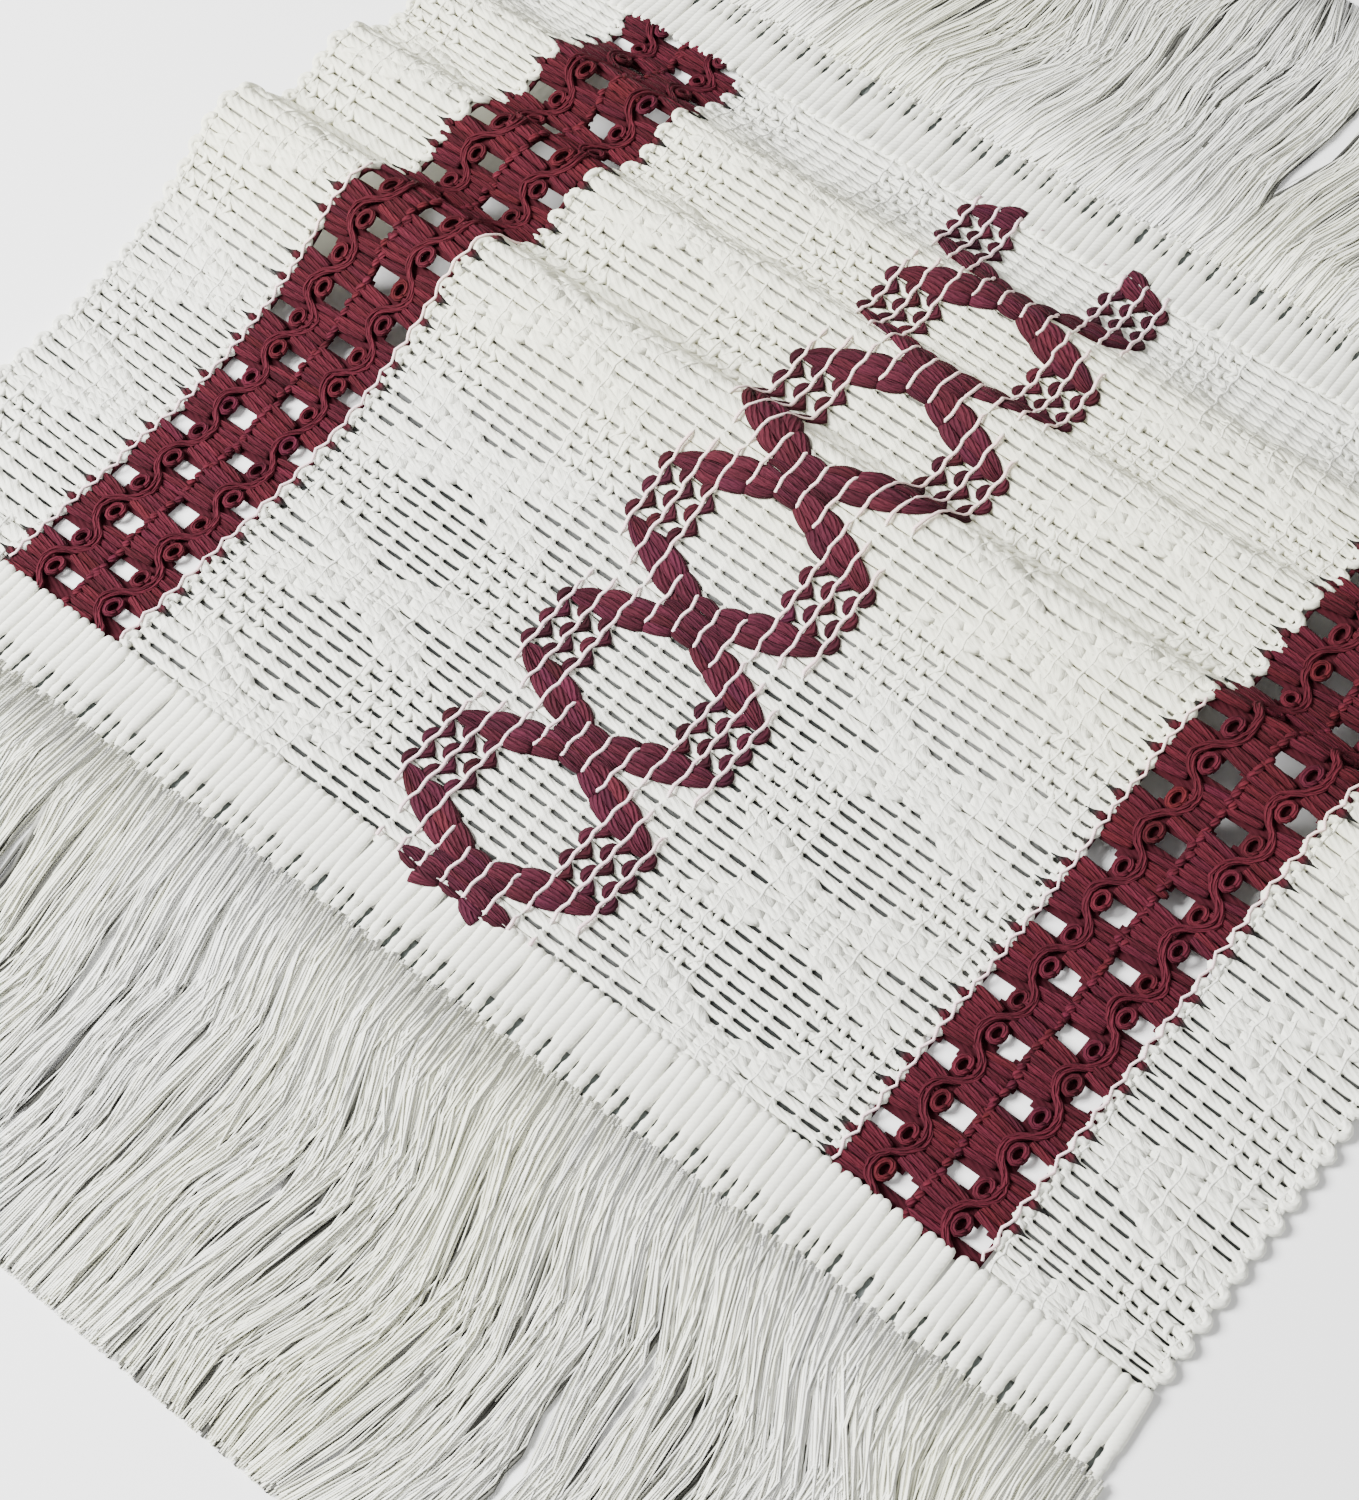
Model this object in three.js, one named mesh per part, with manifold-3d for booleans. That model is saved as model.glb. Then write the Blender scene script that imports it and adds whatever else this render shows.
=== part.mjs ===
// Table runner of cream warp-knit panels joined by two burgundy openwork bands, with a fringe at each end.
// Millimetres, +Z up. X runs across the runner, Y along the bands, and Z = 0 is the surface it lies on.
// The cloth lies flat near its first edge, rises over three soft folds and lies flat again at the far edge.

import * as THREE from "three";
import { mergeVertices } from "three/addons/utils/BufferGeometryUtils.js";
import Module from "manifold-3d";

const wasm = await Module();
wasm.setup();

// Driving sizes
const ROW_PITCH = 3.374; // one weft row
const ROWS = 73; // weft rows from fringe to fringe
const SHEET = 2.4; // thickness of the cloth
const SEAM = 0.3; // clearance between neighbouring pieces
const CENTRE_HALF = 100.5; // half width of the centre panel
const BAND_WIDTH = 38.3;
const BORDER_WIDTH = 41.7;
const BAND_OUTER = CENTRE_HALF + BAND_WIDTH;
const SELVEDGE = BAND_OUTER + BORDER_WIDTH;
const JOIN_SCALLOP = 0.4; // depth of the small waves where a panel meets a band
const SELVEDGE_SCALLOP = 0.9; // depth of the yarn loops along the two outer edges

// The folds, read along the cloth: its slope in degrees at each row, at the left and the right selvedge.
const SLOPES = [
  { row: 0, left: 0, right: 0 },
  { row: 18, left: 0, right: 0 },
  { row: 22, left: 2, right: 4 },
  { row: 28, left: 13, right: 12 },
  { row: 34, left: 31, right: 18 },
  { row: 38, left: 32, right: 19 },
  { row: 40.5, left: 0, right: 4 },
  { row: 42, left: -64, right: -50 },
  { row: 43.5, left: -44, right: -22 },
  { row: 46, left: 8, right: 7 },
  { row: 48.5, left: 26, right: 17 },
  { row: 50.5, left: 32, right: 22 },
  { row: 52, left: 12, right: 12 },
  { row: 53.5, left: -60, right: -46 },
  { row: 55.5, left: -4, right: -3 },
  { row: 58, left: 18, right: 13 },
  { row: 60, left: 20, right: 14 },
  { row: 61.5, left: -8, right: -6 },
  { row: 63, left: -62, right: -50 },
  { row: 65, left: -20, right: -14 },
  { row: 68, left: -16, right: -14 },
  { row: 70.5, left: 0, right: 0 },
  { row: 73, left: 0, right: 0 },
];
const SETTLE_FROM_ROW = 63; // between these rows what height is left is taken out, so the end lies flat
const SETTLE_TO_ROW = 70;
const STEPS_PER_ROW = 4; // steps of the sum that turns slopes into heights

// How far the folding has pushed the cloth sideways at each row, at the left and the right selvedge.
const SHIFTS = [
  { row: 0, left: 0, right: 0 },
  { row: 18, left: -0.5, right: 0.5 },
  { row: 30, left: -4.5, right: 1.5 },
  { row: 37, left: -6, right: 3.5 },
  { row: 40.5, left: -5, right: 5 },
  { row: 44, left: -0.5, right: 9 },
  { row: 50, left: 0, right: 10 },
  { row: 53, left: 2, right: 10 },
  { row: 57, left: 5.5, right: 10 },
  { row: 61, left: 5.5, right: 9.5 },
  { row: 66, left: 3.5, right: 6 },
  { row: 73, left: 2, right: 3 },
];

// The openings of a band: each column's distance from the band's left edge and the row of its first opening.
const OPENING_COLUMNS = [
  { across: 4.4, firstRow: 4.9, count: 12 },
  { across: 14.9, firstRow: 2.1, count: 12 },
  { across: 23.4, firstRow: 4.9, count: 12 },
  { across: 33.9, firstRow: 2.1, count: 12 },
];
const OPENING_PERIOD = 5.86; // rows
const OPENING_ACROSS = 7.0;
const OPENING_ALONG = 8.6;
const OPENING_SIDES = 6;
const CUT_BEYOND = 1.0; // how far a cutting prism stands out of each face of the cloth

// The fringes
const FRINGE_LENGTH = 120; // from the cloth's edge to the tips
const HEADING_DEPTH = 18; // the ribbed strip that holds the strands
const HEADING_GROOVE = 1.5; // thickness of the strip between two ribs
const HEADING_RIB = 2.2; // and on a rib
const STRANDS = 112; // one for each rib
const STRAND_WIDTH = 2.0;
const STRAND_HEIGHT = 1.7;
const STRAND_SEGMENTS = 2;
const STRAND_ROOT = 2.0; // length of each strand inside the heading
const STRAND_TAPER = 0.35; // share of its section that a strand loses towards its tip
const STRAND_SWAY = 2.0; // sideways wave of the strands
const TIP_RAGGED = 3.0; // how unevenly the tips end
const RIB_PITCH = (2 * SELVEDGE) / STRANDS;
const MERGE = 1e-3; // faces that lie in one plane within this are joined

// Finishes
const creamYarn = new THREE.MeshStandardMaterial({ color: 0xe9e8e0, roughness: 0.92, metalness: 0 });
const burgundyYarn = new THREE.MeshStandardMaterial({ color: 0x7a2036, roughness: 0.88, metalness: 0 });
const fringeYarn = new THREE.MeshStandardMaterial({ color: 0xe6e6d8, roughness: 0.85, metalness: 0 });

// One side's value at a row, read between the lines of a table.
function readTable(table, side, row) {
  const next = table.findIndex((knot) => knot.row >= row);
  if (next <= 0) return table[0][side];
  const [a, b] = [table[next - 1], table[next]];
  return THREE.MathUtils.lerp(a[side], b[side], (row - a.row) / (b.row - a.row));
}

// One side's underside as points (along, up) at equal steps of cloth length: each step goes on by its slope.
function foldLine(side) {
  const steps = ROWS * STEPS_PER_ROW;
  const length = ROW_PITCH / STEPS_PER_ROW;
  const line = [new THREE.Vector2(0, 0)];
  for (let i = 1; i <= steps; i += 1) {
    const slope = THREE.MathUtils.degToRad(readTable(SLOPES, side, (i - 0.5) / STEPS_PER_ROW));
    const step = new THREE.Vector2(Math.cos(slope), Math.sin(slope)).multiplyScalar(length);
    line.push(line[i - 1].clone().add(step));
  }
  const left = line[steps].y;
  line.forEach((point, i) => {
    point.y -= left * THREE.MathUtils.smoothstep(i / STEPS_PER_ROW, SETTLE_FROM_ROW, SETTLE_TO_ROW);
  });
  return line;
}

const foldLines = { left: foldLine("left"), right: foldLine("right") };

// The underside of the cloth at a place across and a row: a straight line from the left fold line to the right.
function underside(x, row) {
  const at = THREE.MathUtils.clamp(row, 0, ROWS) * STEPS_PER_ROW;
  const i = Math.min(Math.floor(at), ROWS * STEPS_PER_ROW - 1);
  const side = (line) => line[i].clone().lerp(line[i + 1], at - i);
  return side(foldLines.left).lerp(side(foldLines.right), (x + SELVEDGE) / (2 * SELVEDGE));
}

// The cloth's lean at a row, as the unit vector that points out of its upper face.
function upward(x, row) {
  const along = underside(x, row + 0.5).sub(underside(x, row - 0.5));
  return new THREE.Vector3(0, -along.y, along.x).normalize();
}

// The sideways shift at a place across and a row, blended between the two selvedges.
function shiftAt(x, row) {
  const [left, right] = ["left", "right"].map((side) => readTable(SHIFTS, side, row));
  return THREE.MathUtils.lerp(left, right, (x + SELVEDGE) / (2 * SELVEDGE));
}

// A point of the draped cloth: x across, a row along and a height above the underside.
function draped(x, row, height) {
  const base = underside(x, row);
  return new THREE.Vector3(x + shiftAt(x, row), base.x, base.y).addScaledVector(upward(x, row), height);
}

// Small waves of an edge, one for each pair of rows.
function scallop(row, depth) {
  return depth * Math.cos(Math.PI * row);
}

// A flat slab of one step a row, laid over the folds between two edges that are functions of the row.
function drapedPanel(leftEdge, rightEdge) {
  const slab = new THREE.BoxGeometry(1, ROWS, 1, 1, ROWS, 1).translate(0.5, ROWS / 2, 0.5);
  const place = slab.attributes.position;
  for (let i = 0; i < place.count; i += 1) {
    const row = Math.round(place.getY(i));
    const x = THREE.MathUtils.lerp(leftEdge(row), rightEdge(row), place.getX(i));
    const point = draped(x, row, place.getZ(i) * SHEET);
    place.setXYZ(i, point.x, point.y, point.z);
  }
  return slab;
}

// A closed three.js mesh as a solid that can be joined or cut.
function asSolid(geometry) {
  const bare = geometry.clone().deleteAttribute("normal").deleteAttribute("uv");
  const merged = mergeVertices(bare, 1e-4);
  return new wasm.Manifold(
    new wasm.Mesh({
      numProp: 3,
      vertProperties: merged.attributes.position.array,
      triVerts: new Uint32Array(merged.index.array),
    }),
  );
}

// And back again, with flat-shaded faces.
function asGeometry(solid) {
  const mesh = solid.getMesh();
  const geometry = new THREE.BufferGeometry();
  geometry.setAttribute("position", new THREE.BufferAttribute(mesh.vertProperties, 3));
  geometry.setIndex(new THREE.BufferAttribute(mesh.triVerts, 1));
  geometry.computeVertexNormals();
  return geometry;
}

// The prism that cuts one opening: its corners follow the folds, so its walls stay square to the cloth.
function openingPrism(x, row) {
  const prism = new THREE.CylinderGeometry(0.5, 0.5, SHEET + 2 * CUT_BEYOND, OPENING_SIDES, 1);
  const place = prism.attributes.position;
  for (let i = 0; i < place.count; i += 1) {
    const alongRows = (place.getZ(i) * OPENING_ALONG) / ROW_PITCH;
    const point = draped(x + place.getX(i) * OPENING_ACROSS, row - alongRows, SHEET / 2 + place.getY(i));
    place.setXYZ(i, point.x, point.y, point.z);
  }
  return prism;
}

function openworkBand(leftX) {
  const left = (row) => leftX + SEAM / 2 + scallop(row, JOIN_SCALLOP);
  const right = (row) => leftX + BAND_WIDTH - SEAM / 2 + scallop(row, JOIN_SCALLOP);
  let band = asSolid(drapedPanel(left, right));
  for (const column of OPENING_COLUMNS) {
    for (let i = 0; i < column.count; i += 1) {
      const row = column.firstRow + i * OPENING_PERIOD;
      band = band.subtract(asSolid(openingPrism(leftX + column.across, row)));
    }
  }
  return asGeometry(band);
}

// Sideways sway of a strand at a share of its length: neighbours move together, so none touch.
function sway(strand, share) {
  const phase = strand * 0.21;
  return STRAND_SWAY * share * (Math.sin(phase + 5.2 * share) - Math.sin(phase));
}

// One strand: a three-sided bar that lies flat on the surface, from inside the heading to its tip.
function strandSolid(strand) {
  const bar = new THREE.CylinderGeometry(0.5, 0.5, 1, 3, STRAND_SEGMENTS).translate(0, 0.5, 0);
  const place = bar.attributes.position;
  const rootX = -SELVEDGE + (strand + 0.5) * RIB_PITCH;
  const ragged = TIP_RAGGED * Math.sin(strand * 1.7);
  const length = FRINGE_LENGTH - TIP_RAGGED + ragged - HEADING_DEPTH + STRAND_ROOT;
  for (let i = 0; i < place.count; i += 1) {
    const share = place.getY(i);
    const section = 1 - STRAND_TAPER * share;
    const across = (place.getX(i) / Math.cos(Math.PI / 6)) * STRAND_WIDTH * section;
    const up = ((place.getZ(i) + 0.25) / 0.75) * STRAND_HEIGHT * section;
    place.setXYZ(i, rootX + sway(strand, share) + across, HEADING_DEPTH - STRAND_ROOT + share * length, up);
  }
  return asSolid(bar);
}

// The ribbed strip that runs along the cloth's edge: its upper face rises and falls once for each strand.
function headingSolid() {
  const width = 2 * SELVEDGE;
  const strip = new THREE.BoxGeometry(width, HEADING_DEPTH, 1, 2 * STRANDS, 1, 1);
  strip.translate(0, HEADING_DEPTH / 2, 0.5);
  const place = strip.attributes.position;
  for (let i = 0; i < place.count; i += 1) {
    const onRib = Math.round(((place.getX(i) + SELVEDGE) / width) * 2 * STRANDS) % 2 === 1;
    place.setZ(i, place.getZ(i) * (onRib ? HEADING_RIB : HEADING_GROOVE));
  }
  return asSolid(strip);
}

// A fringe, built with the cloth's edge on its X axis and the strands towards +Y.
function fringe() {
  const strands = Array.from({ length: STRANDS }, (_, strand) => strandSolid(strand));
  return asGeometry(strands.reduce((whole, strand) => whole.add(strand), headingSolid()).simplify(MERGE));
}

function piece(name, geometry, material) {
  const mesh = new THREE.Mesh(geometry, material);
  mesh.name = name;
  return mesh;
}

// The three cream panels
function creamPanels() {
  const join = (x) => (row) => x + scallop(row, JOIN_SCALLOP);
  const selvedge = (sign) => (row) => sign * (SELVEDGE - SELVEDGE_SCALLOP + scallop(row, SELVEDGE_SCALLOP));
  const gap = SEAM / 2;
  const leftBorder = drapedPanel(selvedge(-1), join(-BAND_OUTER - gap));
  const centre = drapedPanel(join(-CENTRE_HALF + gap), join(CENTRE_HALF - gap));
  const rightBorder = drapedPanel(join(BAND_OUTER + gap), selvedge(1));
  return [
    piece("left_border", leftBorder, creamYarn),
    piece("centre_panel", centre, creamYarn),
    piece("right_border", rightBorder, creamYarn),
  ];
}

// The two fringes: the near one points back along -Y, the far one follows the slanting far edge.
function fringes() {
  const near = piece("near_fringe", fringe(), fringeYarn);
  near.rotation.z = Math.PI;
  near.position.y = -SEAM;

  const far = piece("far_fringe", fringe(), fringeYarn);
  const [leftEnd, rightEnd] = [underside(-SELVEDGE, ROWS), underside(SELVEDGE, ROWS)];
  far.rotation.z = Math.atan2(rightEnd.x - leftEnd.x, 2 * SELVEDGE);
  far.position.x = shiftAt(0, ROWS);
  far.position.y = underside(0, ROWS).x + SEAM;
  return [near, far];
}

const runner = new THREE.Group();
runner.add(...creamPanels());
runner.add(piece("left_band", openworkBand(-BAND_OUTER), burgundyYarn));
runner.add(piece("right_band", openworkBand(CENTRE_HALF), burgundyYarn));
runner.add(...fringes());

// The origin is the middle of the runner's outline, on the surface it lies on.
const bounds = new THREE.Box3().setFromObject(runner, true);
const middle = bounds.getCenter(new THREE.Vector3());
runner.position.set(-middle.x, -middle.y, -bounds.min.z);

export default runner;
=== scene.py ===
# %% [markdown]
# # A knitted table runner, yarn by yarn
# The runner is a coarse warp knit. Thin threads run along it in columns, thick yarns cross it in rows, and
# two openwork bands and a fringe at each end finish it. A picture stretched over a sheet would give its
# colours but not its relief, so here every visible yarn is a small closed surface. All of them are worked
# out on the flat cloth, and one function then lays them over the folds of the CAD model.

import bpy
import numpy as np
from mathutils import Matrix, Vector


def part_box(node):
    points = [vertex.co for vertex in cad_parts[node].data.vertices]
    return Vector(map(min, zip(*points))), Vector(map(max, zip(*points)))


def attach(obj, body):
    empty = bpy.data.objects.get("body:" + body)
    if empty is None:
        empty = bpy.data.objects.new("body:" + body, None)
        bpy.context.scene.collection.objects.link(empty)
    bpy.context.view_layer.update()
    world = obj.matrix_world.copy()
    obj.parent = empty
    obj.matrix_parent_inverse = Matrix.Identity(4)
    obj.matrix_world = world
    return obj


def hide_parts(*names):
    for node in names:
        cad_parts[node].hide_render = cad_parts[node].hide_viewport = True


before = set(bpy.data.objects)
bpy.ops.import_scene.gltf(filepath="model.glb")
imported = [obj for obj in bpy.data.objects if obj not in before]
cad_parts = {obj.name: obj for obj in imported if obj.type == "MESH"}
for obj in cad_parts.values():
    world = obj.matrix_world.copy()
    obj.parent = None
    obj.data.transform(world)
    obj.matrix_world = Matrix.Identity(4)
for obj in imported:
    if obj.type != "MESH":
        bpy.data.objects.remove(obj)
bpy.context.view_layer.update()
rng = np.random.default_rng(7)
print("CAD nodes:", ", ".join(sorted(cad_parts)))

# %% [markdown]
# ## The folds
# Cloth keeps its length when it folds, so its shape along the bands is best told by its slope. The table
# gives the slope in degrees at some weft rows, at the left and at the right edge. Adding up short steps of
# that slope gives one fold line on each side, and the cloth between them is a straight blend. Modelling the
# fold by pulling points up would have stretched the knit, and the rows would have come out uneven.

# %% Fold lines of the two sides
ROW = 3.374  # millimetres from one weft row to the next
ROWS = 73
LENGTH = ROW * ROWS
SELVEDGE = 180.5  # half width of the cloth
SLOPES = np.array([
    # row, left, right
    (0, 0, 0), (18, 0, 0), (22, 2, 4), (28, 13, 12), (34, 31, 18), (38, 32, 19), (40.5, 0, 4),
    (42, -64, -50), (43.5, -44, -22), (46, 8, 7), (48.5, 26, 17), (50.5, 32, 22), (52, 12, 12),
    (53.5, -60, -46), (55.5, -4, -3), (58, 18, 13), (60, 20, 14), (61.5, -8, -6), (63, -62, -50),
    (65, -20, -14), (68, -16, -14), (70.5, 0, 0), (73, 0, 0),
], float)
STEPS = 4  # steps to a row, when the slopes are added up
SHIFTS = np.array([
    # row, and how far the folding has pushed the cloth sideways there, left and right
    (0, 0, 0), (18, -0.5, 0.5), (30, -4.5, 1.5), (37, -6, 3.5), (40.5, -5, 5), (44, -0.5, 9), (50, 0, 10),
    (53, 2, 10), (57, 5.5, 10), (61, 5.5, 9.5), (66, 3.5, 6), (73, 2, 3),
], float)
EVEN_ROWS = np.arange(0, ROWS, 2)
NEAR_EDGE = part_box("centre_panel")[0].y * 1000
LEFT_EDGE = np.interp(EVEN_ROWS, SHIFTS[:, 0], SHIFTS[:, 1]) - SELVEDGE
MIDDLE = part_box("left_border")[0].x * 1000 - np.min(LEFT_EDGE)


def smooth(x, low, high):
    """0 below low, 1 above high, and 3t² - 2t³ between them."""
    t = np.clip((x - low) / (high - low), 0, 1)
    return t * t * (3 - 2 * t)


def fold_line(column):
    """Distance ahead and height at each step: running sums of cos(slope) and sin(slope), ending at 0."""
    rows = np.arange(STEPS * ROWS + 1) / STEPS
    slope = np.radians(np.interp(rows[:-1] + 0.5 / STEPS, SLOPES[:, 0], SLOPES[:, column]))
    ahead = np.concatenate([[0], np.cumsum(np.cos(slope))]) * ROW / STEPS
    up = np.concatenate([[0], np.cumsum(np.sin(slope))]) * ROW / STEPS
    return rows, ahead, up - up[-1] * smooth(rows, 63, 70)


LEFT_FOLD, RIGHT_FOLD = fold_line(1), fold_line(2)
print(f"highest crests: {LEFT_FOLD[2].max():.1f} mm left, {RIGHT_FOLD[2].max():.1f} mm right")

# %% [markdown]
# `lay` is the bridge from the flat cloth to the folded one: it takes a place across, a length along the flat
# cloth and a height above the cloth's underside, all in millimetres. It finds the underside there, steps off
# it along the normal, and answers in metres.


# %% From the flat cloth to the folds
def lay(flat):
    """Flat (x, s, h) to the room: underside(x, s) + h * unit normal, which is square to the fold line."""
    x, s, h = flat[..., 0], flat[..., 1], flat[..., 2]
    share = (x + SELVEDGE) / (2 * SELVEDGE)

    def underside(rows):
        return [np.interp(rows, LEFT_FOLD[0], LEFT_FOLD[i]) * (1 - share)
                + np.interp(rows, RIGHT_FOLD[0], RIGHT_FOLD[i]) * share for i in (1, 2)]

    rows = s / ROW
    beyond = np.minimum(s, 0) + np.maximum(s - LENGTH, 0)
    ahead, up = underside(rows)
    inside = np.clip(rows, 0.5, ROWS - 0.5)
    (a0, u0), (a1, u1) = underside(inside - 0.5), underside(inside + 0.5)
    da, du = a1 - a0, u1 - u0
    size = np.hypot(da, du)
    pushed = (np.interp(rows, SHIFTS[:, 0], SHIFTS[:, 1]) * (1 - share)
              + np.interp(rows, SHIFTS[:, 0], SHIFTS[:, 2]) * share)
    y = ahead + beyond - du / size * h + NEAR_EDGE
    return np.stack([x + pushed + MIDDLE, y, up + da / size * h], -1) / 1000


def places(x, s, h):
    """One array of places from numbers or arrays of different shapes."""
    return np.stack(np.broadcast_arrays(x, s, h), -1)


print("far edge at the middle:", lay(places(0.0, LENGTH, 0.0)).round(4))

# %% [markdown]
# ## Yarns as tubes
# A yarn is an oval carried along a path. The rings of all the yarns of one kind are worked out together as
# one array. Curve objects with a bevel would do the same, but thousands of them would be slow, and they
# could not be bent over the folds afterwards. Each tube carries a UV map in millimetres, along the yarn and
# around it, so that the fibres in its material follow the twist, and a colour of its own.


# %% Building blocks for meshes
UV_SHIFT = 90  # millimetres by which a yarn's pattern may be moved along it, so that no two look alike


def new_object(name, verts, quads, uv, colour, caps=None):
    """A mesh object from vertices, four-sided faces and caps of another size, with UVs and vertex colours."""
    mesh = bpy.data.meshes.new(name)
    corners = [quads.reshape(-1)]
    totals = [np.full(len(quads), 4)]
    if caps is not None:
        corners.append(caps.reshape(-1))
        totals.append(np.full(len(caps), caps.shape[1]))
    corners, totals = np.concatenate(corners), np.concatenate(totals)
    mesh.vertices.add(len(verts))
    mesh.vertices.foreach_set("co", verts.astype(np.float32).reshape(-1))
    mesh.loops.add(len(corners))
    mesh.loops.foreach_set("vertex_index", corners.astype(np.int32))
    mesh.polygons.add(len(totals))
    starts = np.concatenate([[0], np.cumsum(totals)[:-1]])
    mesh.polygons.foreach_set("loop_start", starts.astype(np.int32))
    mesh.update(calc_edges=True)
    mesh.polygons.foreach_set("use_smooth", np.ones(len(totals), bool))
    layer = mesh.uv_layers.new(name="yarn")
    layer.data.foreach_set("uv", uv.astype(np.float32).reshape(-1))
    # The colour attribute holds each yarn's dye, and on some pieces painted shade.
    paint = mesh.color_attributes.new("dye_and_shade", "FLOAT_COLOR", "POINT")
    rgba = np.concatenate([colour, np.ones((len(verts), 1))], 1)
    paint.data.foreach_set("color", rgba.astype(np.float32).reshape(-1))
    mesh.validate()
    piece = bpy.data.objects.new(name, mesh)
    bpy.context.scene.collection.objects.link(piece)
    return piece


def corners_of(grid):
    """The four neighbours of every cell of a grid (yarns, points, around, ...), in the order of a face."""
    return [grid[:, :-1, :-1], grid[:, 1:, :-1], grid[:, 1:, 1:], grid[:, :-1, 1:]]


def closed_tubes(rings, run, girth, dye_and_shade):
    """Capped tubes from rings (yarns, points, sides, 3), with UVs by the run along and the girth around."""
    yarns, points, sides = rings.shape[:3]
    index = np.arange(yarns * points * sides).reshape(yarns, points, sides)
    wrapped = np.concatenate([index, index[..., :1]], 2)
    grid = np.stack(np.broadcast_arrays(run[..., None], girth), -1)
    dye_and_shade = np.asarray(dye_and_shade, float)
    dye_and_shade = np.broadcast_to(dye_and_shade if dye_and_shade.ndim == 3 else dye_and_shade.reshape(-1, 1, 3), (yarns, points, 3))
    return {
        "verts": rings.reshape(-1, 3),
        "quads": np.stack(corners_of(wrapped), -1).reshape(-1, 4),
        "caps": np.concatenate([index[:, 0], index[:, -1, ::-1]]),
        "uv": np.stack(corners_of(grid), 3).reshape(-1, 2),
        "cap_uv": np.concatenate([grid[:, 0, :-1], grid[:, -1, -2::-1]]).reshape(-1, 2),
        "colour": np.repeat(dye_and_shade.reshape(-1, 3), sides, axis=0),
    }


def tube_parts(path, wide, high, dye_and_shade, sides=6, turn=0.0, place=lay):
    """Many tubes at once: centre + wide cos(a) * sideways + high sin(a) * up, with a = turn + 2 pi i / sides.

    path is (yarns, points, 3), wide and high are (yarns, points), dye is (yarns, 3) or (yarns, points, 3).
    """
    path = np.asarray(path, float)
    yarns, points = path.shape[:2]
    wide, high = (np.broadcast_to(v, (yarns, points)) for v in (wide, high))
    run = np.gradient(path, axis=1)[..., :2]
    run = run / np.maximum(np.linalg.norm(run, axis=-1, keepdims=True), 1e-9)
    across = np.stack([run[..., 1], -run[..., 0], np.zeros((yarns, points))], -1)
    angle = turn + np.arange(sides) * 2 * np.pi / sides
    ring = path[:, :, None, :] + (wide[..., None] * np.cos(angle))[..., None] * across[:, :, None, :]
    ring[..., 2] += high[..., None] * np.sin(angle)
    steps = np.linalg.norm(np.diff(path, axis=1), axis=-1)
    length = np.concatenate([np.zeros((yarns, 1)), np.cumsum(steps, 1)], 1)
    length = length + rng.uniform(0, UV_SHIFT, (yarns, 1))
    girth = np.arange(sides + 1) / sides * np.pi * float(np.mean(wide + high))
    return closed_tubes(place(ring), length, girth, dye_and_shade)


def join(name, parts):
    """One object from several sets of tubes: their arrays end to end, with the face numbers moved on."""
    start, quads, caps = 0, [], []
    for part in parts:
        quads.append(part["quads"] + start)
        caps.append(part["caps"] + start)
        start += len(part["verts"])
    width = {c.shape[1] for c in caps}
    assert len(width) == 1, "the tubes of one piece have the same number of sides"
    quads, caps = np.concatenate(quads), np.concatenate(caps)
    verts, uv, cap_uv, colour = (np.concatenate([part[key] for part in parts])
                                 for key in ("verts", "uv", "cap_uv", "colour"))
    print(f"{name}: {2 * len(quads) + len(caps) * (width.pop() - 2)} triangles")
    return new_object(name, verts, quads, np.concatenate([uv, cap_uv]), colour, caps)


# %% [markdown]
# ## Dyes
# The colours are linear light values. A dyed yarn is never one flat colour, so each yarn is dyed a little
# lighter or darker than the next one. The near-black shade colour is no dye but painted shade, for places
# that lie deep under or between the yarns.

# %% Yarn colours
CREAM = np.array([0.84, 0.845, 0.775])
PILLAR_WHITE = np.array([0.84, 0.842, 0.80])
PINK = np.array([0.93, 0.70, 0.745])
BURGUNDY = np.array([0.073, 0.0085, 0.0170])
CHAIN_BURGUNDY = np.array([0.060, 0.0095, 0.0200])
# Painted shade: the band's burgundy yarn painted darker, for the net that lies under the blocks.
BURGUNDY_IN_SHADE = np.array([0.034, 0.004, 0.008])
# Painted shade, not a dye: near black, for places that lie deep under or between the yarns.
SHADE = np.array([0.016, 0.018, 0.018])


def dyed(colour, count, spread=0.06, cast=0.0):
    """count shades of one colour: colour * (1 + spread * noise), the blue also by (1 + cast * noise)."""
    shades = colour * (1 + spread * rng.standard_normal((count, 1)))
    shades[:, 2] *= 1 + cast * rng.standard_normal(count)
    return np.clip(shades, 0.002, 0.95)


# %% [markdown]
# ## The knit's own grid
# Columns of thin pillar threads stand 6.23 mm apart. The weft rows lie one pitch apart, but they lean a
# little, because the cloth was not laid quite straight, and where it drops behind a crest the rows are
# pulled apart a little. `along` gives the length along the cloth of a row at a place across. The lean fades
# out towards both fringes, where the heading holds the rows straight.

# %% Columns and rows
WALE = 6.23  # millimetres from one pillar thread to the next
CENTRE_HALF, BAND_WIDTH = 100.5, 38.3
BAND_OUTER = CENTRE_HALF + BAND_WIDTH
# Rows as they were knitted, and where the pull on the cloth has moved each of them.
KNITTED = np.array([-4, 0, 13.55, 25.55, 37.55, 40.2, 43.55, 49.55, 55.55, 61.55, 67.55, 71.4, 75.4])
STRETCHED = np.array([-4, 0, 13.6, 25.8, 38.1, 40.9, 46.0, 52.1, 57.0, 62.4, 69.3, 73.0, 77.0])
KNIT_ROWS = 71


def along(x, row):
    """Length along the cloth of a weft row: pitch * (stretched(row + 0.7) + lean(x)), no lean at the ends."""
    x, row = np.broadcast_arrays(np.asarray(x, float), np.asarray(row, float))
    lean = -0.0105 * x - 0.012 * np.maximum(x - 110, 0)
    held = smooth(row, -1, 7) * (1 - smooth(row, 60, 70))
    return ROW * (np.interp(row + 0.7, KNITTED, STRETCHED) + lean * held)


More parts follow.
